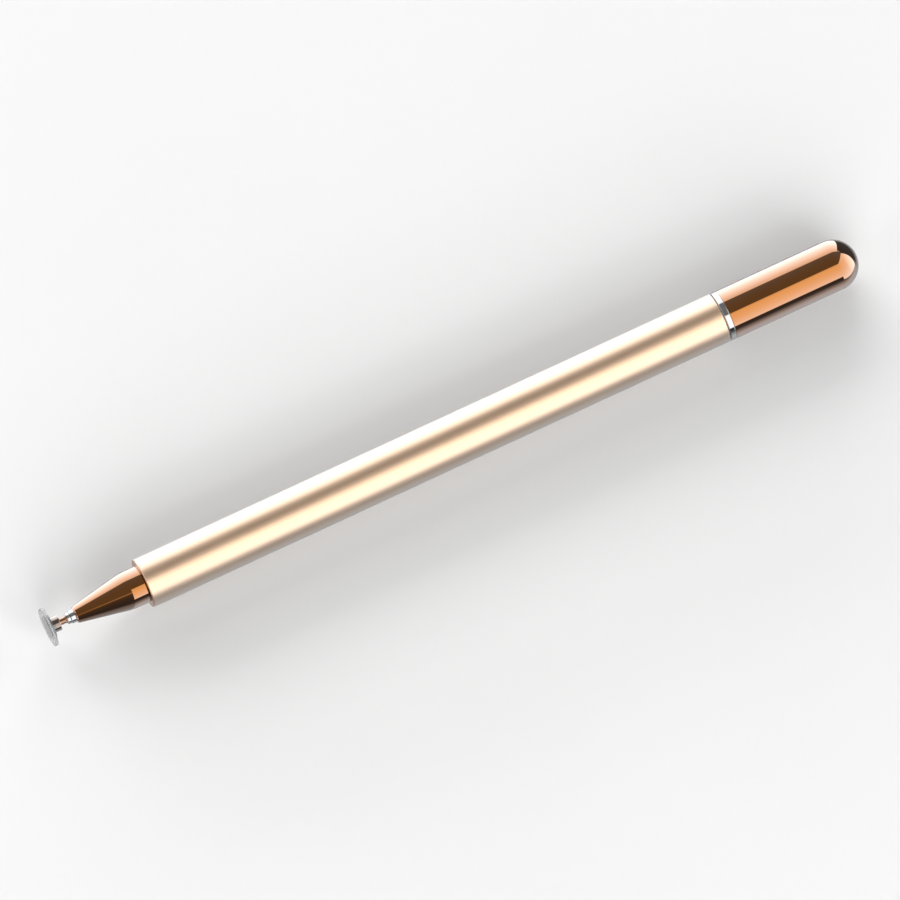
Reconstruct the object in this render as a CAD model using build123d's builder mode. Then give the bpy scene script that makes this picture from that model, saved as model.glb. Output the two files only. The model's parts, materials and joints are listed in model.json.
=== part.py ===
from build123d import *
from math import sqrt
import os

# Stylus pen: a clear disc on a ball joint at the tip, a straight barrel and a magnetic cap.
# Millimetres. The pen lies along X, disc towards -X and cap towards +X, with Z up.
# The origin is under the middle of the pen, on the surface that the barrel lies on.

# Cap section, from the disc outwards: the cap has to pass over the disc
disc_diameter = 7.0
cap_clearance = 0.15
cap_liner_wall = 0.35
cap_wall = 0.5
cap_bore = disc_diameter + 2 * cap_clearance
cap_inside = cap_bore + 2 * cap_liner_wall
pen_diameter = cap_inside + 2 * cap_wall

# Fits, as radial gaps
press_gap = 0.02
thread_gap = 0.05
swivel_gap = 0.03

# Disc and its hub
disc_thickness = 0.7
disc_edge_chamfer = 0.15
disc_recess_depth = 0.1
hub_flange_diameter = 4.5
hub_flange_thickness = 0.4
hub_floor = 0.26
hub_boss_length = 0.4
hub_spigot_wall = 0.15

# Ball joint: the ball turns in a slit liner, and the liner in the hub and its collar
ball_diameter = 1.7
seat_wall = 0.15
seat_front_reach = 0.6
seat_rear_reach = 0.28
seat_slit_width = 0.2
seat_slit_count = 4
seat_slit_depth = 0.5
collar_wall = 0.17
collar_throat_reach = 0.34
collar_lip_length = 0.1
collar_lip_flare = 0.07

# Stem and the two silver rings at its foot
neck_diameter = 1.3
neck_base_diameter = 1.8
neck_flare_length = 0.3
neck_length = 1.85
stem_shank_diameter = 1.0
stem_thread_length = 6.2
stem_hole_spare = 0.5
nib_collar_diameter = 2.1
nib_collar_length = 0.65
nose_ring_diameter = 2.4
nose_ring_length = 0.95
ring_edge_chamfer = 0.1

# Nose cone: a straight spigot for the cap, blended into a straight cone
spigot_clearance = 0.25
cone_shoulder_reach = 3.3
cone_length = 13.1
cone_front_diameter = 3.1
cone_blend_radius = 10.0
cone_seat_width = 0.9
spigot_diameter = cap_bore - 2 * spigot_clearance
shank_diameter = spigot_diameter - 2 * cone_seat_width

# Barrel and the pieces in its two ends
barrel_length = 111.0
barrel_wall = 0.6
barrel_edge_chamfer = 0.15
front_ring_width = 0.2
front_ring_step = 0.05
front_ring_bevel = 0.06
magnet_length = 3.0
bush_length = 8.0
thread_length = 7.0
tail_spigot_length = 3.2
tail_spigot_chamfer = 0.4

# Cap: deep enough to take the whole tip
cap_seat_gap = 0.1
cap_ring_width = 1.0
cap_ring_spigot_length = 2.0
cap_tip_spare = 2.0
cap_liner_floor = 0.7
cap_liner_end_gap = 0.5
cap_bore_cone_depth = 2.6

# Radii that the fits share
ball_radius = ball_diameter / 2
seat_inner_radius = ball_radius + swivel_gap
seat_outer_radius = seat_inner_radius + seat_wall
cup_radius = seat_outer_radius + swivel_gap
hub_spigot_radius = cup_radius + hub_spigot_wall
collar_bore_radius = hub_spigot_radius + press_gap
collar_radius = collar_bore_radius + collar_wall
stem_bore_radius = stem_shank_diameter / 2 + press_gap
barrel_bore_radius = pen_diameter / 2 - barrel_wall
insert_radius = barrel_bore_radius - press_gap
tapped_radius = shank_diameter / 2 + thread_gap
insert_wall = insert_radius - tapped_radius

# Stations along X, from the disc's front face to the end of the cap
ball_reach = disc_thickness - disc_recess_depth + hub_floor + cup_radius
tip_length = ball_reach + neck_length + nib_collar_length + nose_ring_length + cone_length
cap_depth = tip_length + cap_tip_spare
cap_straight_length = cap_depth + cap_liner_floor + cap_liner_end_gap
cap_length = cap_straight_length + pen_diameter / 2
overall_length = tip_length + barrel_length + cap_seat_gap + cap_length

disc_front_x = -overall_length / 2
disc_back_x = disc_front_x + disc_thickness
hub_front_x = disc_back_x - disc_recess_depth
hub_flange_back_x = hub_front_x + hub_flange_thickness
hub_boss_back_x = hub_flange_back_x + hub_boss_length
ball_x = disc_front_x + ball_reach
nib_collar_x = ball_x + neck_length
nose_ring_x = nib_collar_x + nib_collar_length
cone_front_x = nose_ring_x + nose_ring_length
stem_end_x = cone_front_x + stem_thread_length
barrel_front_x = disc_front_x + tip_length
front_ring_x = barrel_front_x - front_ring_width
barrel_rear_x = barrel_front_x + barrel_length
cap_front_x = barrel_rear_x + cap_seat_gap
cap_shell_x = cap_front_x + cap_ring_width
cap_ring_end_x = cap_shell_x + cap_ring_spigot_length
cap_dome_x = cap_front_x + cap_straight_length

# Every profile is half a section: X along the pen, Y out from its axis
axis_height = pen_diameter / 2
pen_axis = Axis((0, 0, axis_height), (1, 0, 0))
section = Plane(origin=(0, 0, axis_height), x_dir=(1, 0, 0), z_dir=(0, -1, 0))


def on_sphere(radius, reach):
    # Distance from the axis of a point on a sphere, at a reach along the axis from its centre
    return sqrt(radius**2 - reach**2)


os.makedirs("parts", exist_ok=True)

# Disc: flat front, broken front edge, and a shallow recess that centres the hub
with BuildPart() as disc:
    with BuildSketch(section):
        with Locations((disc_front_x, 0)):
            Rectangle(disc_thickness, disc_diameter / 2, align=(Align.MIN, Align.MIN))
        with Locations((disc_back_x, 0)):
            Rectangle(
                disc_recess_depth,
                hub_flange_diameter / 2 + press_gap,
                align=(Align.MAX, Align.MIN),
                mode=Mode.SUBTRACT,
            )
    revolve(axis=pen_axis)
    chamfer(disc.edges().group_by(Axis.X)[0], length=disc_edge_chamfer)
disc.part.label = "disc"
export_step(disc.part, "parts/disc.step")

# Hub: flange on the disc, boss, and a thin spigot round the front half of the socket
with BuildPart() as disc_hub:
    with BuildSketch(section):
        with BuildLine():
            socket = CenterArc((ball_x, 0), cup_radius, start_angle=180, arc_size=-90)
            Polyline(
                socket @ 1,
                (ball_x, hub_spigot_radius),
                (hub_boss_back_x, hub_spigot_radius),
                (hub_boss_back_x, collar_radius),
                (hub_flange_back_x, collar_radius),
                (hub_flange_back_x, hub_flange_diameter / 2),
                (hub_front_x, hub_flange_diameter / 2),
                (hub_front_x, 0),
                socket @ 0,
            )
        make_face()
    revolve(axis=pen_axis)
disc_hub.part.label = "disc_hub"
export_step(disc_hub.part, "parts/disc_hub.step")

# Collar: a sleeve on the hub's spigot whose lip closes over the rear half of the socket
collar_throat_x = ball_x + collar_throat_reach
collar_throat_radius = on_sphere(cup_radius, collar_throat_reach)
collar_end_x = collar_throat_x + collar_lip_length
with BuildPart() as retaining_collar:
    with BuildSketch(section):
        with BuildLine():
            lip = ThreePointArc(
                (ball_x, cup_radius),
                (ball_x + collar_throat_reach / 2, on_sphere(cup_radius, collar_throat_reach / 2)),
                (collar_throat_x, collar_throat_radius),
            )
            Polyline(
                lip @ 1,
                (collar_end_x, collar_throat_radius + collar_lip_flare),
                (collar_end_x, collar_radius),
                (hub_boss_back_x, collar_radius),
                (hub_boss_back_x, collar_bore_radius),
                (ball_x, collar_bore_radius),
                lip @ 0,
            )
        make_face()
    revolve(axis=pen_axis)
retaining_collar.part.label = "retaining_collar"
export_step(retaining_collar.part, "parts/retaining_collar.step")

# Seat: a zone of a spherical shell, slit from the rear so that the ball snaps in
seat_front_x = ball_x - seat_front_reach
seat_rear_x = ball_x + seat_rear_reach
with BuildPart() as ball_seat:
    with BuildSketch(section):
        with BuildLine():
            outside = ThreePointArc(
                (seat_front_x, on_sphere(seat_outer_radius, seat_front_reach)),
                (ball_x, seat_outer_radius),
                (seat_rear_x, on_sphere(seat_outer_radius, seat_rear_reach)),
            )
            inside = ThreePointArc(
                (seat_front_x, on_sphere(seat_inner_radius, seat_front_reach)),
                (ball_x, seat_inner_radius),
                (seat_rear_x, on_sphere(seat_inner_radius, seat_rear_reach)),
            )
            Line(outside @ 0, inside @ 0)
            Line(outside @ 1, inside @ 1)
        make_face()
    revolve(axis=pen_axis)
    slit_plane = Plane(origin=(seat_rear_x, 0, axis_height), x_dir=(0, 1, 0), z_dir=(-1, 0, 0))
    with BuildSketch(slit_plane):
        with PolarLocations(seat_outer_radius, seat_slit_count):
            Rectangle(4 * seat_wall, seat_slit_width)
    extrude(amount=seat_slit_depth, mode=Mode.SUBTRACT)
ball_seat.part.label = "ball_seat"
export_step(ball_seat.part, "parts/ball_seat.step")

# Stem: the ball, a neck with a flared foot, and the shank that screws into the cone
neck_reach = on_sphere(ball_radius, neck_diameter / 2)
with BuildPart() as ball_stem:
    with BuildSketch(section):
        with BuildLine():
            ball = ThreePointArc(
                (ball_x - ball_radius, 0),
                (ball_x, ball_radius),
                (ball_x + neck_reach, neck_diameter / 2),
            )
            Polyline(
                ball @ 1,
                (nib_collar_x - neck_flare_length, neck_diameter / 2),
                (nib_collar_x, neck_base_diameter / 2),
                (nib_collar_x, stem_shank_diameter / 2),
                (stem_end_x, stem_shank_diameter / 2),
                (stem_end_x, 0),
                ball @ 0,
            )
        make_face()
    revolve(axis=pen_axis)
ball_stem.part.label = "ball_stem"
export_step(ball_stem.part, "parts/ball_stem.step")

# Nib collar: the ring that the stem's neck bears on
with BuildPart() as nib_collar:
    with BuildSketch(section):
        with Locations((nib_collar_x, stem_bore_radius)):
            Rectangle(
                nib_collar_length,
                nib_collar_diameter / 2 - stem_bore_radius,
                align=(Align.MIN, Align.MIN),
            )
    revolve(axis=pen_axis)
    rims = nib_collar.edges().filter_by(GeomType.CIRCLE).group_by(SortBy.RADIUS)[-1]
    chamfer(rims.sort_by(Axis.X)[0], length=ring_edge_chamfer)
nib_collar.part.label = "nib_collar"
export_step(nib_collar.part, "parts/nib_collar.step")

# Nose ring: a wider ring, clamped between the nib collar and the cone
with BuildPart() as nose_ring:
    with BuildSketch(section):
        with Locations((nose_ring_x, stem_bore_radius)):
            Rectangle(
                nose_ring_length,
                nose_ring_diameter / 2 - stem_bore_radius,
                align=(Align.MIN, Align.MIN),
            )
    revolve(axis=pen_axis)
    rims = nose_ring.edges().filter_by(GeomType.CIRCLE).group_by(SortBy.RADIUS)[-1]
    chamfer(rims, length=ring_edge_chamfer)
nose_ring.part.label = "nose_ring"
export_step(nose_ring.part, "parts/nose_ring.step")

# Nose cone: spigot and cone in one smooth skin, a shank behind it and a tapped hole in its nose
cone_shank_end_x = barrel_front_x + magnet_length + thread_length
stem_hole_end_x = stem_end_x + stem_hole_spare
with BuildPart() as nose_cone:
    with BuildSketch(section):
        with BuildLine():
            skin = FilletPolyline(
                (front_ring_x, spigot_diameter / 2),
                (barrel_front_x - cone_shoulder_reach, spigot_diameter / 2),
                (cone_front_x, cone_front_diameter / 2),
                radius=cone_blend_radius,
            )
            Polyline(
                skin @ 1,
                (cone_front_x, stem_bore_radius),
                (stem_hole_end_x, stem_bore_radius),
                (stem_hole_end_x, 0),
                (cone_shank_end_x, 0),
                (cone_shank_end_x, shank_diameter / 2),
                (front_ring_x, shank_diameter / 2),
                skin @ 0,
            )
        make_face()
    revolve(axis=pen_axis)
nose_cone.part.label = "nose_cone"
export_step(nose_cone.part, "parts/nose_cone.step")

# Barrel: one straight tube with its outer edges broken
with BuildPart() as barrel:
    with BuildSketch(section):
        with Locations((barrel_front_x, barrel_bore_radius)):
            Rectangle(barrel_length, barrel_wall, align=(Align.MIN, Align.MIN))
    revolve(axis=pen_axis)
    rims = barrel.edges().filter_by(GeomType.CIRCLE).group_by(SortBy.RADIUS)[-1]
    chamfer(rims, length=barrel_edge_chamfer)
barrel.part.label = "barrel"
export_step(barrel.part, "parts/barrel.step")

# Front ring: a bevelled washer that the cone clamps against the end of the barrel
front_ring_radius = pen_diameter / 2 - front_ring_step
with BuildPart() as front_ring:
    with BuildSketch(section):
        with BuildLine():
            Polyline(
                (front_ring_x, tapped_radius),
                (front_ring_x, front_ring_radius - front_ring_bevel),
                (barrel_front_x, front_ring_radius),
                (barrel_front_x, tapped_radius),
                close=True,
            )
        make_face()
    revolve(axis=pen_axis)
front_ring.part.label = "front_ring"
export_step(front_ring.part, "parts/front_ring.step")

# Ring magnets, flush with the two ends of the barrel
with BuildPart() as front_magnet:
    with BuildSketch(section):
        with Locations((barrel_front_x, tapped_radius)):
            Rectangle(magnet_length, insert_wall, align=(Align.MIN, Align.MIN))
    revolve(axis=pen_axis)
front_magnet.part.label = "front_magnet"
export_step(front_magnet.part, "parts/front_magnet.step")

with BuildPart() as tail_magnet:
    with BuildSketch(section):
        with Locations((barrel_rear_x, tapped_radius)):
            Rectangle(magnet_length, insert_wall, align=(Align.MAX, Align.MIN))
    revolve(axis=pen_axis)
tail_magnet.part.label = "tail_magnet"
export_step(tail_magnet.part, "parts/tail_magnet.step")

# Tapped bushes behind the magnets, which the cone and the tail plug screw into
with BuildPart() as front_bush:
    with BuildSketch(section):
        with Locations((barrel_front_x + magnet_length, tapped_radius)):
            Rectangle(bush_length, insert_wall, align=(Align.MIN, Align.MIN))
    revolve(axis=pen_axis)
front_bush.part.label = "front_bush"
export_step(front_bush.part, "parts/front_bush.step")

with BuildPart() as tail_bush:
    with BuildSketch(section):
        with Locations((barrel_rear_x - magnet_length, tapped_radius)):
            Rectangle(bush_length, insert_wall, align=(Align.MAX, Align.MIN))
    revolve(axis=pen_axis)
tail_bush.part.label = "tail_bush"
export_step(tail_bush.part, "parts/tail_bush.step")

# Tail plug: the same spigot and shank as the cone, with a chamfered end for the cap
tail_plug_end_x = barrel_rear_x + tail_spigot_length
tail_shank_end_x = barrel_rear_x - magnet_length - thread_length
with BuildPart() as tail_plug:
    with BuildSketch(section):
        with Locations((barrel_rear_x, 0)):
            Rectangle(tail_spigot_length, spigot_diameter / 2, align=(Align.MIN, Align.MIN))
        with Locations((tail_shank_end_x, 0)):
            Rectangle(
                magnet_length + thread_length,
                shank_diameter / 2,
                align=(Align.MIN, Align.MIN),
            )
    revolve(axis=pen_axis)
    chamfer(tail_plug.edges().group_by(Axis.X)[-1], length=tail_spigot_chamfer)
tail_plug.part.label = "tail_plug"
export_step(tail_plug.part, "parts/tail_plug.step")

# Cap ring: the silver ring at the cap's mouth, with a spigot pressed into the shell
with BuildPart() as cap_ring:
    with BuildSketch(section):
        with BuildLine():
            Polyline(
                (cap_front_x, cap_bore / 2),
                (cap_front_x, pen_diameter / 2),
                (cap_shell_x, pen_diameter / 2),
                (cap_shell_x, cap_inside / 2 - press_gap),
                (cap_ring_end_x, cap_inside / 2 - press_gap),
                (cap_ring_end_x, cap_bore / 2),
                close=True,
            )
        make_face()
    revolve(axis=pen_axis)
    rims = cap_ring.edges().filter_by(GeomType.CIRCLE).group_by(SortBy.RADIUS)[-1]
    chamfer(rims.sort_by(Axis.X)[0], length=ring_edge_chamfer)
cap_ring.part.label = "cap_ring"
export_step(cap_ring.part, "parts/cap_ring.step")

# Cap shell: turned with a hemispherical end, and bored out to a blunt cone behind the liner
cap_bore_end_x = cap_dome_x + cap_bore_cone_depth
with BuildPart() as cap_shell:
    with BuildSketch(section):
        with BuildLine():
            dome = CenterArc((cap_dome_x, 0), pen_diameter / 2, start_angle=90, arc_size=-90)
            Polyline(
                dome @ 1,
                (cap_bore_end_x, 0),
                (cap_bore_end_x, cap_inside / 2 - cap_bore_cone_depth),
                (cap_dome_x, cap_inside / 2),
                (cap_shell_x, cap_inside / 2),
                (cap_shell_x, pen_diameter / 2),
                dome @ 0,
            )
        make_face()
    revolve(axis=pen_axis)
cap_shell.part.label = "cap_shell"
export_step(cap_shell.part, "parts/cap_shell.step")

# Cap liner: a moulded cup behind the ring's spigot, as deep as the tip is long
liner_floor_x = cap_front_x + cap_depth
liner_end_x = liner_floor_x + cap_liner_floor
with BuildPart() as cap_liner:
    with BuildSketch(section):
        with BuildLine():
            Polyline(
                (cap_ring_end_x, cap_bore / 2),
                (cap_ring_end_x, cap_inside / 2 - press_gap),
                (liner_end_x, cap_inside / 2 - press_gap),
                (liner_end_x, 0),
                (liner_floor_x, 0),
                (liner_floor_x, cap_bore / 2),
                close=True,
            )
        make_face()
    revolve(axis=pen_axis)
cap_liner.part.label = "cap_liner"
export_step(cap_liner.part, "parts/cap_liner.step")
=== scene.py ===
import json
import math

import bmesh
import bpy
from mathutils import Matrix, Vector

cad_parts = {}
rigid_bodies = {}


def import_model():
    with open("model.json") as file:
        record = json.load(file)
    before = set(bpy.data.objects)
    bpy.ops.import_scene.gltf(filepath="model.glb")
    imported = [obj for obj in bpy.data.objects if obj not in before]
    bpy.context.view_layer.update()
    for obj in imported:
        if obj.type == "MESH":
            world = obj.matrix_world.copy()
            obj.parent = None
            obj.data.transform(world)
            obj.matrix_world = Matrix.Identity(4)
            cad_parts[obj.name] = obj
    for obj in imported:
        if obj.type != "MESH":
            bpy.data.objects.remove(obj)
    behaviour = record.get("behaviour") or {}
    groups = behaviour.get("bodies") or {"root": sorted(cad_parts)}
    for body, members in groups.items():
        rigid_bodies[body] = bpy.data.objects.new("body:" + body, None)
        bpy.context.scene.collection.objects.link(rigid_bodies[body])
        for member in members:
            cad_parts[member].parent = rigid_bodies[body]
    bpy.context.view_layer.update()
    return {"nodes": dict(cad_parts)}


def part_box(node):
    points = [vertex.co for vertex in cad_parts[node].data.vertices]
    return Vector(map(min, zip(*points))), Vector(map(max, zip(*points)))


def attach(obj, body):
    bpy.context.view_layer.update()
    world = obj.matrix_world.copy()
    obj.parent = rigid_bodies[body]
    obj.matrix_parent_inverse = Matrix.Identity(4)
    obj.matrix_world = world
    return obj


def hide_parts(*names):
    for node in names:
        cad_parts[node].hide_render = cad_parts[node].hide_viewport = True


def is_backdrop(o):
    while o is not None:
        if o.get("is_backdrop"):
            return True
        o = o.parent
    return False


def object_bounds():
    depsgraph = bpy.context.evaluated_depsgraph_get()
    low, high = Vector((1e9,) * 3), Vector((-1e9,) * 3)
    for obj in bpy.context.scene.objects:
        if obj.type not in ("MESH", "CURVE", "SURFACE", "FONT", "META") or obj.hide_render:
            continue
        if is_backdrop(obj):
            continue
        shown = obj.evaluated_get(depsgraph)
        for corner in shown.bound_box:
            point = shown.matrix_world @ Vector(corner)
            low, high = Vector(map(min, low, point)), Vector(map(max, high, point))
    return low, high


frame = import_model()
print("frame loaded:", len(frame["nodes"]), "nodes")

mm = 0.001
barrelLow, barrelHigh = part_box("barrel")
axisHeight = (barrelLow.z + barrelHigh.z) / 2


# a node's two ends along the pen and its outer radius, in mm
def span(node):
    low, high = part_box(node)
    return low.x / mm, high.x / mm, (high.z - low.z) / 2 / mm


# a socket in a node tree; arithmetic on it adds Math nodes
class Wire:
    def __init__(self, tree, socket=None):
        self.tree = tree
        self.socket = socket

    def add(self, kind, settings=None, feeds=None, out=0):
        node = self.tree.nodes.new(kind)
        for key, value in (settings or {}).items():
            if key == "stops":
                ramp = node.color_ramp.elements
                ramp.remove(ramp[1])
                ramp[0].position, ramp[0].color = value[0]
                for place, colour in value[1:]:
                    ramp.new(place).color = colour
            else:
                setattr(node, key, value)
        for key, value in (feeds or {}).items():
            if isinstance(value, Wire):
                self.tree.links.new(value.socket, node.inputs[key])
            else:
                node.inputs[key].default_value = value
        return Wire(self.tree, node.outputs[out] if len(node.outputs) else None)

    def other(self, name):  # another output of the same node
        return Wire(self.tree, self.socket.node.outputs[name])

    def maths(self, operation, *values):
        return self.add("ShaderNodeMath", {"operation": operation}, dict(enumerate(values)))

    def __add__(self, value):
        return self.maths("ADD", self, value)

    __radd__ = __add__

    def __sub__(self, value):
        return self.maths("SUBTRACT", self, value)

    def __rsub__(self, value):
        return self.maths("SUBTRACT", value, self)

    def __mul__(self, value):
        return self.maths("MULTIPLY", self, value)

    __rmul__ = __mul__

    def __truediv__(self, value):
        return self.maths("DIVIDE", self, value)

    def __rtruediv__(self, value):
        return self.maths("DIVIDE", value, self)

    def step(self, low, high):  # 0 below low, 1 above high, smooth between
        feeds = {"Value": self, "From Min": low, "From Max": high}
        return self.add("ShaderNodeMapRange", {"interpolation_type": "SMOOTHSTEP"}, feeds)

    def tint(self, first, second):  # colour from first at 0 to second at 1
        return self.add("ShaderNodeMix", {"data_type": "RGBA"}, {0: self, 6: first, 7: second}, out=2)

    def noise(self, place, scale=1.0, detail=3.0, roughness=0.5):
        feeds = {"Vector": place, "Scale": scale, "Detail": detail, "Roughness": roughness}
        return self.add("ShaderNodeTexNoise", {}, feeds)

    def bump(self, strength, height):  # height in mm
        return self.add("ShaderNodeBump", {}, {"Strength": strength, "Distance": height * mm, "Height": self})


def newMaterial(name):
    material = bpy.data.materials.new(name)
    material.use_nodes = True
    material.node_tree.nodes.clear()
    return material, Wire(material.node_tree)


def closeMaterial(root, shader):
    root.add("ShaderNodeOutputMaterial", {}, {"Surface": shader})


def objectSpot(root):
    return root.add("ShaderNodeTexCoord", out="Object")


def alongPen(root, spot):  # mm
    return root.add("ShaderNodeSeparateXYZ", {}, {0: spot}, out="X") * (1 / mm)


def roundPen(root, spot):  # radians about the pen's axis
    across = root.add("ShaderNodeSeparateXYZ", {}, {0: spot}, out="Y")
    return root.maths("ARCTAN2", across.other("Z") - axisHeight, across)


# fine marks that run round a turned piece
def turnedMarks(root, spot, marks):
    along = alongPen(root, spot) * marks["along"]
    angle = roundPen(root, spot) * marks["round"]
    lines = root.add("ShaderNodeCombineXYZ", {}, {"X": along, "Y": angle})
    return root.noise(lines, detail=marks["detail"])


glossEdge = {"blend": 0.5, "white": (0.97, 0.97, 0.97, 1.0)}


# a metal finish turns white towards its edges
def edgeGloss(root, shader, roughness, amount, base):
    facing = root.add("ShaderNodeLayerWeight", {}, {"Blend": glossEdge["blend"]}, out="Facing")
    white = root.add("ShaderNodeBsdfPrincipled", {}, {
        "Base Color": glossEdge["white"],
        "Metallic": 1.0,
        "Roughness": roughness,
    })
    return root.add("ShaderNodeMixShader", {}, {0: facing * amount + base, 1: shader, 2: white})


# what the mirror platings share
plating = {
    "cloudScale": 260.0,
    "marks": {"along": 14, "round": 0.8, "detail": 2.0},
    "grazing": (1.0, 1.0, 1.0, 1.0),
}

# cone, cap and tail plug
copper = {
    "deep": (0.62, 0.240, 0.066, 1.0),
    "light": (0.66, 0.262, 0.078, 1.0),
    "roughness": 0.025,
    "haze": 0.03,  # roughness that the polishing marks add
    "edge": 1.08,  # share of white gained from face on to the rim
    "edgeBase": -0.015,  # share of white face on
}

neckCopper = {
    "deep": (0.48, 0.235, 0.115, 1.0),
    "light": (0.53, 0.27, 0.14, 1.0),
    "roughness": 0.05,
    "haze": 0.08,
    "edge": 0.95,
    "edgeBase": -0.015,
}

hubSteel = {
    "deep": (0.24, 0.24, 0.245, 1.0),
    "light": (0.28, 0.28, 0.285, 1.0),
    "roughness": 0.06,
    "haze": 0.08,
    "edge": 1.1,
    "edgeFrom": span("disc_hub")[0] + 0.42,  # the flange stays dark
    "edgeBase": -0.015,
}

ringCopper = {
    "deep": (0.60, 0.26, 0.10, 1.0),
    "light": (0.66, 0.29, 0.12, 1.0),
    "roughness": 0.05,
    "haze": 0.08,
    "edge": 1.08,
    "edgeFrom": span("front_ring")[1] - 0.03,  # its front face stays dark
    "edgeBase": 0.0,
    "grazing": (0.75, 0.75, 0.75, 1.0),  # it is seen almost edge on
}

collarBronze = {
    "deep": (0.38, 0.275, 0.21, 1.0),
    "light": (0.42, 0.31, 0.25, 1.0),
    "roughness": 0.05,
    "haze": 0.08,
    "edge": 1.08,
    "edgeBase": -0.015,
}


def platedMirror(name, look):
    material, root = newMaterial(name)
    spot = objectSpot(root)
    cloud = root.noise(spot, plating["cloudScale"])
    roughness = look["roughness"] + cloud * look["haze"] * turnedMarks(root, spot, plating["marks"])
    metal = root.add("ShaderNodeBsdfPrincipled", {}, {
        "Base Color": cloud.tint(look["deep"], look["light"]),
        "Metallic": 1.0,
        "Roughness": roughness,
        "Specular Tint": look.get("grazing", plating["grazing"]),
    })
    edge = look["edge"]
    if "edgeFrom" in look:
        edge = root.maths("GREATER_THAN", alongPen(root, spot), look["edgeFrom"]) * edge
    closeMaterial(root, edgeGloss(root, metal, roughness, edge, look["edgeBase"]))
    return material


satin = {
    "deep": (0.95, 0.65, 0.43, 1.0),
    "light": (0.98, 0.69, 0.47, 1.0),
    "roughness": 0.39,
    "cloudScale": 120.0,
    "cloudRoughness": 0.03,
    "grainSize": 0.05,  # mm
    "grainDetail": 2.0,
    "grainHeight": 0.0012,  # mm
    "grainStrength": 0.3,
    "grainRoughness": 0.08,
    "middle": 0.5,  # of the noise, where it adds nothing
    "edge": 1.0,
    "edgeBase": 0.02,
}


def barrelSatin():
    material, root = newMaterial("barrelSatin")
    spot = objectSpot(root)
    grain = root.noise(spot, 1 / mm / satin["grainSize"], satin["grainDetail"])
    cloud = root.noise(spot, satin["cloudScale"])
    roughness = satin["roughness"] + (grain - satin["middle"]) * satin["grainRoughness"]
    roughness = roughness + (cloud - satin["middle"]) * satin["cloudRoughness"]
    metal = root.add("ShaderNodeBsdfPrincipled", {}, {
        "Base Color": cloud.tint(satin["deep"], satin["light"]),
        "Metallic": 1.0,
        "Roughness": roughness,
        "Normal": grain.bump(satin["grainStrength"], satin["grainHeight"]),
    })
    closeMaterial(root, edgeGloss(root, metal, roughness, satin["edge"], satin["edgeBase"]))
    return material


chrome = {
    "deep": (0.78, 0.79, 0.80, 1.0),
    "light": (0.84, 0.845, 0.85, 1.0),
    "cloudScale": 900.0,
    "marks": {"along": 30, "round": 1.0, "detail": 2.0},
    "roughness": 0.03,
    "haze": 0.05,
}


def brightChrome():
    material, root = newMaterial("brightChrome")
    spot = objectSpot(root)
    cloud = root.noise(spot, chrome["cloudScale"])
    closeMaterial(root, root.add("ShaderNodeBsdfPrincipled", {}, {
        "Base Color": cloud.tint(chrome["deep"], chrome["light"]),
        "Metallic": 1.0,
        "Roughness": chrome["roughness"] + turnedMarks(root, spot, chrome["marks"]) * cloud * chrome["haze"],
    }))
    return material


nickel = {
    "deep": (0.60, 0.575, 0.54, 1.0),
    "light": (0.74, 0.72, 0.69, 1.0),
    "cloudScale": 1400.0,
    "cloudDetail": 4.0,
    "speckScale": 9000.0,
    "speckDetail": 2.0,
    "speckHeight": 0.003,  # mm
    "speckStrength": 0.3,
    "roughness": 0.2,
    "haze": 0.15,
}


def nickelFace():
    material, root = newMaterial("nickelFace")
    spot = objectSpot(root)
    cloud = root.noise(spot, nickel["cloudScale"], nickel["cloudDetail"])
    speck = root.noise(spot, nickel["speckScale"], nickel["speckDetail"])
    closeMaterial(root, root.add("ShaderNodeBsdfPrincipled", {}, {
        "Base Color": cloud.tint(nickel["deep"], nickel["light"]),
        "Metallic": 1.0,
        "Roughness": nickel["roughness"] + cloud * nickel["haze"],
        "Normal": speck.bump(nickel["speckStrength"], nickel["speckHeight"]),
    }))
    return material


brass = {
    "deep": (0.62, 0.43, 0.16, 1.0),
    "light": (0.74, 0.55, 0.24, 1.0),
    "cloudScale": 400.0,
    "grooves": {"along": 20, "round": 0.3, "detail": 3.0},
    "grooveHeight": 0.01,  # mm
    "grooveStrength": 0.5,
    "grooveRoughness": 0.2,
    "roughness": 0.22,
}


def turnedBrass():
    material, root = newMaterial("turnedBrass")
    spot = objectSpot(root)
    grooves = turnedMarks(root, spot, brass["grooves"])
    cloud = root.noise(spot, brass["cloudScale"])
    closeMaterial(root, root.add("ShaderNodeBsdfPrincipled", {}, {
        "Base Color": cloud.tint(brass["deep"], brass["light"]),
        "Metallic": 1.0,
        "Roughness": brass["roughness"] + grooves * brass["grooveRoughness"],
        "Normal": grooves.bump(brass["grooveStrength"], brass["grooveHeight"]),
    }))
    return material


discPlastic = {
    "clear": (0.95, 0.96, 0.96, 1.0),
    "rim": (0.74, 0.745, 0.75, 1.0),
    "filmAndReflection": (0.66, 0.665, 0.67, 1.0),  # conductive film on the front face; its grey is a painted reflection of the grey surroundings
    "filmDepth": 0.03,  # mm
    "filmAndReflectionCover": 0.9,  # share of the film's painted grey that is even
    "cloudScale": 500.0,
    "cloudDetail": 2.0,
    "wearScale": 2600.0,
    "wearDetail": 5.0,
    "wearRoughness": 0.6,
    "scuffed": (0.55, 0.8),  # wear at which a scuff starts and is full
    "scuff": 0.12,
    "roughness": 0.03,
    "ior": 1.49,
    "clearness": 0.82,
}


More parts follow.
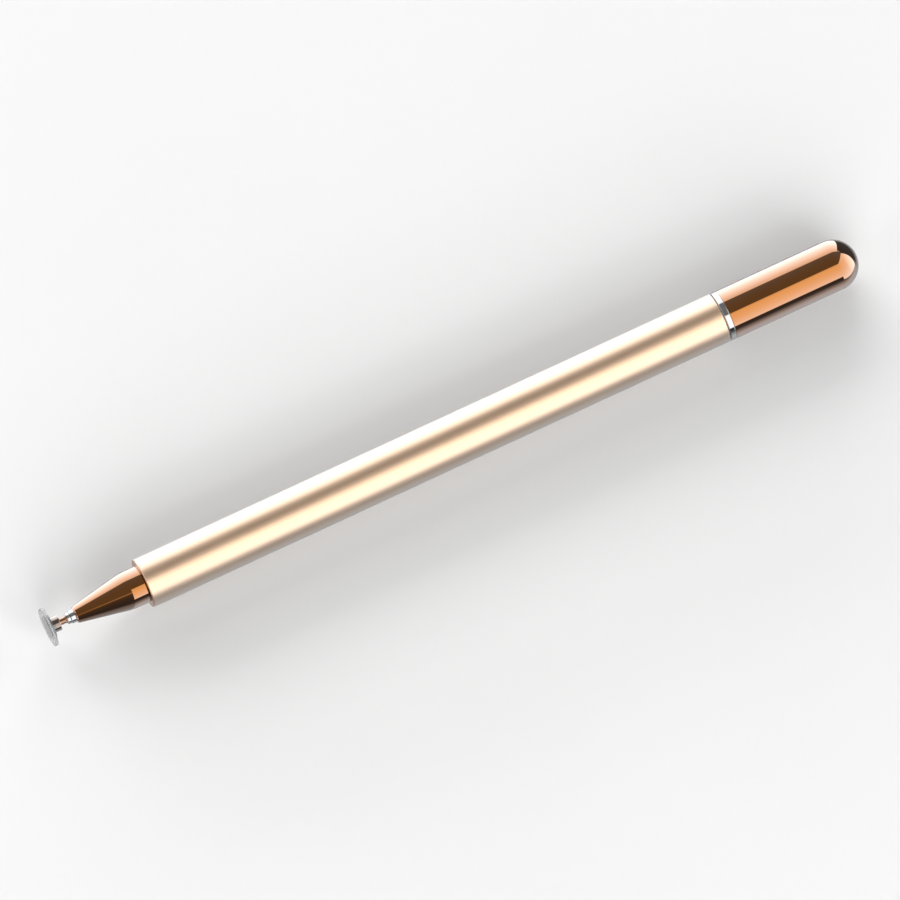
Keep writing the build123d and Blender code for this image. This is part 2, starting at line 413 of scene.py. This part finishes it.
def clearDisc():
    material, root = newMaterial("clearDisc")
    spot = objectSpot(root)
    wear = root.noise(spot, discPlastic["wearScale"], discPlastic["wearDetail"], discPlastic["wearRoughness"])
    cloud = root.noise(spot, discPlastic["cloudScale"], discPlastic["cloudDetail"])
    along = alongPen(root, spot)
    front, rear = span("disc")[:2]
    # the front face takes the film's grey, a painted reflection, a little uneven
    cover = discPlastic["filmAndReflectionCover"] + cloud * (1 - discPlastic["filmAndReflectionCover"])
    filmAndReflection = root.maths("LESS_THAN", along, front + discPlastic["filmDepth"]) * cover
    rim = root.maths("LESS_THAN", along, rear - discPlastic["filmDepth"])
    body = rim.tint(discPlastic["clear"], discPlastic["rim"])
    closeMaterial(root, root.add("ShaderNodeBsdfPrincipled", {}, {
        "Base Color": filmAndReflection.tint(body, discPlastic["filmAndReflection"]),
        "Roughness": discPlastic["roughness"] + wear.step(*discPlastic["scuffed"]) * discPlastic["scuff"],
        "IOR": discPlastic["ior"],
        "Transmission Weight": discPlastic["clearness"],
    }))
    return material


# what the two moulded plastics share
moulding = {
    "cloudScale": 700.0,
    "sparkScale": 12000.0,
    "sparkDetail": 2.0,
    "sparkHeight": 0.004,  # mm
    "sparkStrength": 0.4,
    "haze": 0.12,
}

seatAcetal = {"deep": (0.72, 0.72, 0.69, 1.0), "light": (0.8, 0.8, 0.77, 1.0), "roughness": 0.35}

linerBlack = {"deep": (0.018, 0.018, 0.019, 1.0), "light": (0.03, 0.03, 0.031, 1.0), "roughness": 0.45}


def mouldedPlastic(name, look):
    material, root = newMaterial(name)
    spot = objectSpot(root)
    cloud = root.noise(spot, moulding["cloudScale"])
    spark = root.noise(spot, moulding["sparkScale"], moulding["sparkDetail"])
    closeMaterial(root, root.add("ShaderNodeBsdfPrincipled", {}, {
        "Base Color": cloud.tint(look["deep"], look["light"]),
        "Roughness": look["roughness"] + cloud * moulding["haze"],
        "Normal": spark.bump(moulding["sparkStrength"], moulding["sparkHeight"]),
    }))
    return material


# by slot, and by look where a piece differs from the others in its slot
finishes = {
    "copper_mirror": platedMirror("copperMirror", copper),
    "neckCopper": platedMirror("neckCopper", neckCopper),
    "hubSteel": platedMirror("hubSteel", hubSteel),
    "ringCopper": platedMirror("ringCopper", ringCopper),
    "collarBronze": platedMirror("collarBronze", collarBronze),
    "barrel_satin": barrelSatin(),
    "chrome": brightChrome(),
    "nickel": nickelFace(),
    "bare_brass": turnedBrass(),
    "disc_clear": clearDisc(),
    "seat_plastic": mouldedPlastic("seatAcetal", seatAcetal),
    "liner_plastic": mouldedPlastic("linerBlack", linerBlack),
}
print("finishes:", len(finishes))

turning = {
    "sides": 256,
    "smallSides": 192,  # round the nib's small pieces and the magnets
    "edgeSteps": 6,  # on a rounded corner
    "sharpAngle": 28,  # degrees, edges over this are shaded sharp
    "longSide": 0.3,  # mm
    "hold": 0.03,  # mm from a long side's end to the extra ring of points
    "onAxis": 1e-6,  # mm, a smaller radius is a point on the axis
}


# round the corners of an outline; a corner is (x, radius) or (x, radius, rounding), in mm
def soften(corners, closed, steps=turning["edgeSteps"]):
    count = len(corners)
    points = []
    for i, corner in enumerate(corners):
        spot = Vector(corner[:2])
        rounding = corner[2] if len(corner) > 2 else 0
        if not rounding or (not closed and i in (0, count - 1)):
            points.append(tuple(spot))
            continue
        before = (Vector(corners[i - 1][:2]) - spot).normalized()
        after = (Vector(corners[(i + 1) % count][:2]) - spot).normalized()
        half = before.angle(after) / 2
        middle = spot + (before + after).normalized() * rounding / math.sin(half)
        start = spot + before * rounding / math.tan(half) - middle
        sweep = start.angle_signed(spot + after * rounding / math.tan(half) - middle)
        for k in range(steps + 1):
            turn = -sweep * k / steps
            points.append((
                middle.x + start.x * math.cos(turn) - start.y * math.sin(turn),
                middle.y + start.x * math.sin(turn) + start.y * math.cos(turn),
            ))
    return points


# points on a circle about the axis, from one angle to another, in degrees from +X
def arcPoints(centre, radius, start, end, steps):
    angles = [math.radians(start + (end - start) * k / steps) for k in range(steps + 1)]
    return [(centre + radius * math.cos(a), radius * math.sin(a)) for a in angles]


# extra points close to both ends of each long side keep a rounded corner's shading in the corner
def heldSides(outline, closed):
    points = []
    for i, first in enumerate(outline):
        points.append(first)
        if i == len(outline) - 1 and not closed:
            break
        start, end = Vector(first), Vector(outline[(i + 1) % len(outline)])
        if (end - start).length > turning["longSide"]:
            nudge = (end - start).normalized() * turning["hold"]
            points += [tuple(start + nudge), tuple(end - nudge)]
    return points


# turn an outline round the pen's axis; an open outline runs from the axis to the axis
def turnPiece(name, outline, closed, sides=turning["sides"]):
    mesh = bmesh.new()
    rings = []
    for x, radius in heldSides(outline, closed):
        if radius < turning["onAxis"]:
            rings.append([mesh.verts.new((x * mm, 0, axisHeight))])
            continue
        ring = []
        for k in range(sides):
            angle = 2 * math.pi * k / sides
            spot = (x * mm, radius * mm * math.cos(angle), axisHeight + radius * mm * math.sin(angle))
            ring.append(mesh.verts.new(spot))
        rings.append(ring)
    pairs = list(zip(rings, rings[1:] + rings[:1]))
    for first, second in pairs if closed else pairs[:-1]:
        for k in range(sides):
            n = (k + 1) % sides
            if len(first) == 1:
                corners = (first[0], second[k], second[n])
            elif len(second) == 1:
                corners = (first[k], second[0], first[n])
            else:
                corners = (first[k], second[k], second[n], first[n])
            mesh.faces.new(corners)
    bmesh.ops.recalc_face_normals(mesh, faces=mesh.faces)
    for face in mesh.faces:
        face.smooth = True
    for edge in mesh.edges:
        if edge.calc_face_angle(0) > math.radians(turning["sharpAngle"]):
            edge.smooth = False
    data = bpy.data.meshes.new(name)
    mesh.to_mesh(data)
    mesh.free()
    piece = bpy.data.objects.new(name, data)
    bpy.context.scene.collection.objects.link(piece)
    return piece


def place(piece, node, body, slot, look=None):
    piece.data.materials.append(finishes[look or slot])
    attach(piece, body)
    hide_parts(node)


# sizes in the pieces' dictionaries are in mm
barrelTube = {"wall": 0.6, "chamfer": 0.2, "edge": 0.03, "edgeSteps": 4}


def makeBarrel():
    front, rear, radius = span("barrel")
    bore = radius - barrelTube["wall"]
    chamfer, edge = barrelTube["chamfer"], barrelTube["edge"]
    corners = [
        (front, bore, edge),
        (front, radius - chamfer, edge),
        (front + chamfer, radius, edge),
        (rear - chamfer, radius, edge),
        (rear, radius - chamfer, edge),
        (rear, bore, edge),
    ]
    piece = turnPiece("barrelTube", soften(corners, True, barrelTube["edgeSteps"]), True)
    place(piece, "barrel", "barrel", "barrel_satin")


# the cone's foot reaches over the ring, so little of its thickness is shown
frontRing = {"bore": 2.55, "shown": 0.04, "bevel": 0.01, "edge": 0.005}


def makeFrontRing():
    rear, radius = span("front_ring")[1:]
    front = rear - frontRing["shown"]
    corners = [
        (front, frontRing["bore"]),
        (front, radius - frontRing["bevel"], frontRing["edge"]),
        (rear, radius),
        (rear, frontRing["bore"]),
    ]
    piece = turnPiece("frontRing", soften(corners, True), True)
    place(piece, "front_ring", "barrel", "copper_mirror", "ringCopper")


noseCone = {
    "frontRadius": 1.55, "frontChamfer": 0.18,
    "foot": 3.3,  # from the end of the taper to the barrel
    "blend": 10.0, "blendSteps": 24,  # rounding between taper and foot
    "stemBore": 0.52, "stemEnd": 6.7,
    "shankRadius": 2.5, "shankChamfer": 0.3,
}


def makeCone():
    front, rear, radius = span("nose_cone")
    taperEnd = span("barrel")[0] - noseCone["foot"]
    shoulder = span("front_ring")[1] - frontRing["shown"]
    corners = [
        (front + noseCone["stemEnd"], 0),
        (front + noseCone["stemEnd"], noseCone["stemBore"]),
        (front, noseCone["stemBore"]),
        (front, noseCone["frontRadius"] - noseCone["frontChamfer"]),
        (front + noseCone["frontChamfer"], noseCone["frontRadius"]),
        (taperEnd, radius, noseCone["blend"]),
        (shoulder, radius),
        (shoulder, noseCone["shankRadius"]),
        (rear - noseCone["shankChamfer"], noseCone["shankRadius"]),
        (rear, noseCone["shankRadius"] - noseCone["shankChamfer"]),
        (rear, 0),
    ]
    piece = turnPiece("coneSkin", soften(corners, False, noseCone["blendSteps"]), False)
    place(piece, "nose_cone", "barrel", "copper_mirror")


capShell = {
    "wall": 0.5, "edge": 0.06,
    "boreCone": 2.6,  # depth of the bore's conical end
    "domeSteps": 64,
}


def makeCap():
    front, rear, radius = span("cap_shell")
    dome = rear - radius
    inside = radius - capShell["wall"]
    corners = [
        (dome + capShell["boreCone"], 0),
        (dome + capShell["boreCone"], inside - capShell["boreCone"]),
        (dome, inside),
        (front, inside),
        (front, radius, capShell["edge"]),
        (dome, radius),
    ]
    outline = soften(corners, False)[:-1] + arcPoints(dome, radius, 90, 0, capShell["domeSteps"])
    piece = turnPiece("capShell", outline, False)
    place(piece, "cap_shell", "cap", "copper_mirror")


capRing = {"width": 1.0, "bore": 3.65, "spigot": 3.98, "edge": 0.1}


def makeCapRing():
    front, rear, radius = span("cap_ring")
    step = front + capRing["width"]
    corners = [
        (front, capRing["bore"], capRing["edge"]),
        (front, radius, capRing["edge"]),
        (step, radius, capRing["edge"]),
        (step, capRing["spigot"]),
        (rear, capRing["spigot"]),
        (rear, capRing["bore"]),
    ]
    piece = turnPiece("capRing", soften(corners, True), True)
    place(piece, "cap_ring", "cap", "chrome")


# the two silver rings at the foot of the neck
nibRings = {
    "names": {"nose_ring": "noseRing", "nib_collar": "nibCollar"},
    "bore": 0.52, "chamfer": 0.13, "edge": 0.02, "rearEdge": 0.11,
}


def makeNibRings():
    chamfer, edge = nibRings["chamfer"], nibRings["edge"]
    for node, name in nibRings["names"].items():
        front, rear, radius = span(node)
        corners = [
            (front, nibRings["bore"]),
            (front, radius - chamfer, edge),
            (front + chamfer, radius, edge),
            (rear, radius, nibRings["rearEdge"]),
            (rear, nibRings["bore"]),
        ]
        piece = turnPiece(name, soften(corners, True), True, turning["smallSides"])
        place(piece, node, "barrel", "chrome")


ballStem = {
    "ballSteps": 48,
    "neck": 0.65, "flare": 0.3, "foot": 0.9,
    "footX": 1.85,  # from the ball's centre
    "shank": 0.5, "chamfer": 0.12,
}


def makeStem():
    front, rear, radius = span("ball_stem")
    ball = front + radius
    neckAngle = math.degrees(math.asin(ballStem["neck"] / radius))
    foot = ball + ballStem["footX"]
    corners = [
        (foot - ballStem["flare"], ballStem["neck"]),
        (foot, ballStem["foot"]),
        (foot, ballStem["shank"]),
        (rear - ballStem["chamfer"], ballStem["shank"]),
        (rear, ballStem["shank"] - ballStem["chamfer"]),
        (rear, 0),
    ]
    outline = arcPoints(ball, radius, 180, neckAngle, ballStem["ballSteps"]) + soften(corners, False)
    piece = turnPiece("ballStem", outline, False, turning["smallSides"])
    place(piece, "ball_stem", "barrel", "copper_mirror", "neckCopper")


discHub = {
    "flange": 0.4, "edge": 0.05,
    "boss": 0.4, "bossRadius": 1.4, "bossEdge": 0.025,
    "spigot": 1.21, "cup": 1.06, "cupSteps": 24,
}


def makeHub():
    front, rear, radius = span("disc_hub")
    flangeBack = front + discHub["flange"]
    bossBack = flangeBack + discHub["boss"]
    corners = [
        (front, 0),
        (front, radius, discHub["edge"]),
        (flangeBack, radius, discHub["edge"]),
        (flangeBack, discHub["bossRadius"], discHub["edge"]),
        (bossBack, discHub["bossRadius"], discHub["bossEdge"]),
        (bossBack, discHub["spigot"]),
        (rear, discHub["spigot"]),
        (rear, discHub["cup"]),
    ]
    cup = arcPoints(rear, discHub["cup"], 90, 180, discHub["cupSteps"])
    piece = turnPiece("discHub", soften(corners, False) + cup[1:], False, turning["smallSides"])
    place(piece, "disc_hub", "disc", "chrome", "hubSteel")


lipCollar = {
    "bore": 1.23, "frontEdge": 0.035, "edge": 0.07,
    "cup": 1.06, "cupSteps": 10,
    "throat": 0.34,  # from the ball's centre to the lip's narrowest place
    "mouth": 1.074,
}


def makeCollar():
    front, rear, radius = span("retaining_collar")
    ball = span("disc_hub")[1]
    lip = math.degrees(math.acos(lipCollar["throat"] / lipCollar["cup"]))
    corners = [
        (ball, lipCollar["bore"]),
        (front, lipCollar["bore"]),
        (front, radius, lipCollar["frontEdge"]),
        (rear, radius, lipCollar["edge"]),
        (rear, lipCollar["mouth"]),
    ]
    cup = arcPoints(ball, lipCollar["cup"], lip, 90, lipCollar["cupSteps"])
    piece = turnPiece("lipCollar", soften(corners, False) + cup, True, turning["smallSides"])
    place(piece, "retaining_collar", "disc", "copper_mirror", "collarBronze")


touchDisc = {"chamfer": 0.15, "edge": 0.05, "recess": 2.27, "recessDepth": 0.1}


def makeDisc():
    front, rear, radius = span("disc")
    corners = [
        (front, 0),
        (front, radius - touchDisc["chamfer"], touchDisc["edge"]),
        (front + touchDisc["chamfer"], radius, touchDisc["edge"]),
        (rear, radius, touchDisc["edge"]),
        (rear, touchDisc["recess"]),
        (rear - touchDisc["recessDepth"], touchDisc["recess"]),
        (rear - touchDisc["recessDepth"], 0),
    ]
    piece = turnPiece("touchDisc", soften(corners, False), False)
    place(piece, "disc", "disc", "disc_clear")


tailPlug = {"shank": 2.5, "spigot": 3.2, "chamfer": 0.4, "edge": 0.06}


def makeTailPlug():
    front, rear, radius = span("tail_plug")
    step = rear - tailPlug["spigot"]
    corners = [
        (front, 0),
        (front, tailPlug["shank"]),
        (step, tailPlug["shank"]),
        (step, radius),
        (rear - tailPlug["chamfer"], radius, tailPlug["edge"]),
        (rear, radius - tailPlug["chamfer"], tailPlug["edge"]),
        (rear, 0),
    ]
    piece = turnPiece("tailPlug", soften(corners, False), False)
    place(piece, "tail_plug", "barrel", "copper_mirror")


ringMagnets = {
    "names": {"front_magnet": "frontMagnet", "tail_magnet": "tailMagnet"},
    "bore": 2.55, "edge": 0.05, "edgeSteps": 3,
}


def makeMagnets():
    bore, edge = ringMagnets["bore"], ringMagnets["edge"]
    for node, name in ringMagnets["names"].items():
        front, rear, radius = span(node)
        corners = [
            (front, bore, edge),
            (front, radius, edge),
            (rear, radius, edge),
            (rear, bore, edge),
        ]
        outline = soften(corners, True, ringMagnets["edgeSteps"])
        place(turnPiece(name, outline, True, turning["smallSides"]), node, "barrel", "nickel")


makeBarrel()
makeCone()
makeCap()
makeCapRing()
makeFrontRing()
makeNibRings()
makeStem()
makeHub()
makeCollar()
makeDisc()
makeTailPlug()
makeMagnets()

# pieces whose solid is right as it is
keptNodes = {
    "front_bush": "bare_brass",
    "tail_bush": "bare_brass",
    "ball_seat": "seat_plastic",
    "cap_liner": "liner_plastic",
}
for node, slot in keptNodes.items():
    solid = frame["nodes"][node]
    solid.data.materials.clear()
    solid.data.materials.append(finishes[slot])
print("pieces turned")

floorSheet = {
    "size": 14.0,  # metres
    "deep": (0.84, 0.84, 0.84, 1.0),
    "light": (0.87, 0.87, 0.87, 1.0),
    "cloudScale": 12.0,
    "cloudDetail": 2.0,
    "roughness": 0.3,
    "haze": 0.04,
    "gloss": 0.3,
}


def makeFloor():
    half = floorSheet["size"] / 2
    corners = [(-half, -half, 0), (half, -half, 0), (half, half, 0), (-half, half, 0)]
    data = bpy.data.meshes.new("floorSheet")
    data.from_pydata(corners, [], [(0, 1, 2, 3)])
    floor = bpy.data.objects.new("floorSheet", data)
    bpy.context.scene.collection.objects.link(floor)
    material, root = newMaterial("floorPaper")
    cloud = root.noise(objectSpot(root), floorSheet["cloudScale"], floorSheet["cloudDetail"])
    closeMaterial(root, root.add("ShaderNodeBsdfPrincipled", {}, {
        "Base Color": cloud.tint(floorSheet["deep"], floorSheet["light"]),
        "Roughness": floorSheet["roughness"] + cloud * floorSheet["haze"],
        "Specular IOR Level": floorSheet["gloss"],
    }))
    data.materials.append(material)
    floor.visible_glossy = False  # the metals show the studio's own lower half instead
    floor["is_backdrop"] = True


makeFloor()
print("floor laid")

# the studio is seen in the gloss only: long soft panels beside the pen, one at its tip and one at its tail
studio = {
    # (degrees round the pen, brightness), from the back horizon at -180 under the pen to the front
    # horizon at 0, over the top at 90 and on to the back horizon at 180
    "back": [
        (-180, 1.57), (-143, 1.5), (-140, 0), (129.3, 0), (130.2, 1.09), (152, 1.33), (178, 1.57),
    ],
    "front": [
        (-180, 0), (-143, 0), (-138, 0.5), (-120, 0.4), (-100, 0.36), (-70, 0.42), (-45, 0.47), (-29, 0.29),
        (-16, 0.1), (-11, 0.044), (4.9, 0.044), (5.8, 1.28), (45, 1.27), (60, 1.17), (68.4, 1.12),
        (69.2, 0.16), (129.3, 0.16), (130.2, 0),
    ],
    "tip": [
        (-180, 0), (-143, 0), (-138, 0.5), (-120, 0.4), (-100, 0.36), (-70, 0.27), (-56, 0.24), (-29, 0.2),
        (-16, 0.07), (-11, 0.036), (4.9, 0.042), (30, 0.07), (46, 0.11), (48.5, 0.42), (53, 0.42),
        (55.5, 0.16), (129.3, 0.16), (130.2, 0),
    ],
    "brightest": 2.0,  # at the white end of a ramp
    "frontEnd": 0.05,  # how far the front panel reaches towards the tip
    # past this plane at the back panel's tail end it is dark, between a low and a high edge
    "backEnd": (-1.0, 0.733, 0.257),
    "darkLevel": 0.05,
    "darkBack": (-0.25, 0.0),
    "darkLow": (-0.8, -0.45),
    "darkHigh": (0.5, 0.65),
    # planes round the panel at the tail, which is brighter straight behind the pen
    "tailPanel": [(0.4932, -0.4604, -0.3452), (0.0, -1.0, 0.542), (0.4136, -0.1094, 1.0), (1.0, 0.2716, 0.0)],
    "tailLevel": 1.27,
    "tailGain": 0.4,
    "tailGainFrom": (0.75, 1.0),
    "tipPanel": 0.8,
    # pale floor ahead of the tip, seen in the disc's face
    "aheadLevel": 0.66,
    "aheadReach": (0.05, 0.09),
    "aheadFrom": (-140, -132),
    "aheadTo": (-84, -76),
    "soft": 0.012,  # half the width of a panel's edge
    "bounce": 0.4,  # share of the panels' light that the pen throws on to the floor
}


def bandLevel(root, angle, bands):
    stops = []
    for turn, level in bands:
        grey = level / studio["brightest"]
        stops.append(((turn + 180) / 360, (grey, grey, grey, 1.0)))
    ramp = root.add("ShaderNodeValToRGB", {"stops": stops}, {"Fac": (angle + 180) / 360})
    return ramp * studio["brightest"]


def makeStudio():
    world = bpy.data.worlds.new("studioPanels")
    bpy.context.scene.world = world
    world.cycles_visibility.diffuse = False  # the panels are for the gloss, and the lamps light the floor
    world.use_nodes = True
    world.node_tree.nodes.clear()
    root = Wire(world.node_tree)
    way = root.add("ShaderNodeTexCoord", out="Generated")
    x = root.add("ShaderNodeSeparateXYZ", {}, {0: way}, out="X")
    y, z = x.other("Y"), x.other("Z")
    toTip = x * -1.0
    angle = root.maths("ARCTAN2", z, y * -1.0) * (180 / math.pi)
    soft = studio["soft"]

    def past(wire, edge):
        return wire.step(edge - soft, edge + soft)

    def plane(edge):  # 1 on the side that the edge's normal points to
        return past(x * edge[0] + y * edge[1] + z * edge[2], 0)

    reach = past(x, studio["frontEnd"])
    front = bandLevel(root, angle, studio["front"])
    tip = bandLevel(root, angle, studio["tip"])
    level = front * reach + tip * (1 - reach) + bandLevel(root, angle, studio["back"])
    dark = (1 - plane(studio["backEnd"])) * y.step(*studio["darkBack"])
    dark = dark * z.step(*studio["darkLow"]) * (1 - z.step(*studio["darkHigh"]))
    level = level * (1 - dark) + dark * studio["darkLevel"]
    ends = 1.0
    for edge in studio["tailPanel"]:
        ends = plane(edge) * ends
    ends = root.maths("MAXIMUM", ends, past(toTip, studio["tipPanel"]))
    endLevel = studio["tailLevel"] + x.step(*studio["tailGainFrom"]) * studio["tailGain"]
    level = level * (1 - ends) + ends * endLevel
    ahead = toTip.step(*studio["aheadReach"]) * angle.step(*studio["aheadFrom"])
    ahead = ahead * (1 - angle.step(*studio["aheadTo"])) * (1 - ends)
    level = level * (1 - ahead) + ahead * studio["aheadLevel"]
    bounced = root.maths("GREATER_THAN", root.add("ShaderNodeLightPath", out="Diffuse Depth"), 0)
    level = level * (1 - bounced * (1 - studio["bounce"]))
    glow = root.add("ShaderNodeBackground", {}, {"Color": (1.0, 1.0, 1.0, 1.0), "Strength": level})
    root.add("ShaderNodeOutputWorld", {}, {"Surface": glow})


# soft lamps light the floor and the plain plastics, and two strips are seen only in the barrel's sheen
lamps = {
    "frontLow": {"at": (0.0, -1.287, 0.181), "size": (1.8, 0.3), "power": 5.5},
    "frontMiddle": {"at": (0.0, -1.222, 0.445), "size": (1.8, 0.4), "power": 12.2},
    "frontHigh": {"at": (0.0, -1.065, 0.746), "size": (1.8, 0.5), "power": 8.9},
    "frontTop": {"at": (0.0, -0.746, 1.065), "size": (1.8, 0.5), "power": 2.3},
    "backLow": {"at": (0.0, 1.293, 0.136), "size": (1.8, 0.25), "power": 23.7},
    "backMiddle": {"at": (0.0, 1.205, 0.487), "size": (1.8, 0.35), "power": 14.0},
    "backHigh": {"at": (0.0, 0.996, 0.836), "size": (1.8, 0.5), "power": 3.6},
    "tailLamp": {"at": (1.178, 0.0, 0.549), "size": (0.6, 0.6), "power": 3.7},
    "tipLamp": {"at": (-1.178, 0.0, 0.549), "size": (0.6, 0.6), "power": 6.2},
    "frontStrip": {
        "at": (0.03, -0.1867, 0.1708), "size": (0.4, 0.3335), "power": 0.368, "only": "barrelTube",
    },
    "backStrip": {
        "at": (0.03, 0.2216, 0.1203), "size": (0.4, 0.24), "power": 0.13, "only": "barrelTube",
    },
}


def makeLamps():
    for name, values in lamps.items():
        lamp = bpy.data.lights.new(name, "AREA")
        lamp.shape = "RECTANGLE"
        lamp.size, lamp.size_y = values["size"]
        lamp.energy = values["power"]
        holder = bpy.data.objects.new(name, lamp)
        holder.location = values["at"]
        away = Vector((0, values["at"][1], values["at"][2] - axisHeight))
        holder.rotation_euler = away.to_track_quat("Z", "Y").to_euler()
        strip = "only" in values
        if strip:
            lit = bpy.data.collections.new(name + "Lit")
            lit.objects.link(bpy.data.objects[values["only"]])
            holder.light_linking.receiver_collection = lit
        holder.visible_glossy = strip
        holder.visible_diffuse = not strip
        holder.visible_transmission = False
        holder.visible_camera = False
        bpy.context.scene.collection.objects.link(holder)


makeLamps()
makeStudio()
print("studio set")

camera = {
    "azimuth": -26.01, "elevation": 71.0,  # degrees
    "lens": 1200.0, "sensor": 36.0,  # mm
    "across": 0.15566,  # metres across the picture at the pen
    "picture": 900,  # px
    "penMiddle": (452.1, 441.0),  # px, where the pen's middle falls in the picture
    "clip": (0.1, 50.0),  # metres
}


def makeCamera():
    azimuth, elevation = math.radians(camera["azimuth"]), math.radians(camera["elevation"])
    back = Vector((
        math.sin(azimuth) * math.cos(elevation),
        -math.cos(azimuth) * math.cos(elevation),
        math.sin(elevation),
    ))
    right = Vector((math.cos(azimuth), math.sin(azimuth), 0))
    up = back.cross(right)
    pixel = camera["across"] / camera["picture"]
    centre = camera["picture"] / 2
    low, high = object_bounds()
    aim = Vector(((low.x + high.x) / 2, (low.y + high.y) / 2, axisHeight))
    aim -= right * (camera["penMiddle"][0] - centre) * pixel
    aim += up * (camera["penMiddle"][1] - centre) * pixel
    data = bpy.data.cameras.new("camera")
    data.lens = camera["lens"]
    data.sensor_width = camera["sensor"]
    data.clip_start, data.clip_end = camera["clip"]
    distance = camera["across"] * camera["lens"] / camera["sensor"]
    eye = bpy.data.objects.new("camera", data)
    eye.location = aim + back * distance
    eye.rotation_euler = back.to_track_quat("Z", "Y").to_euler()
    bpy.context.scene.collection.objects.link(eye)
    bpy.context.scene.camera = eye


makeCamera()
bpy.context.scene.view_settings.view_transform = "Standard"
print("camera set")
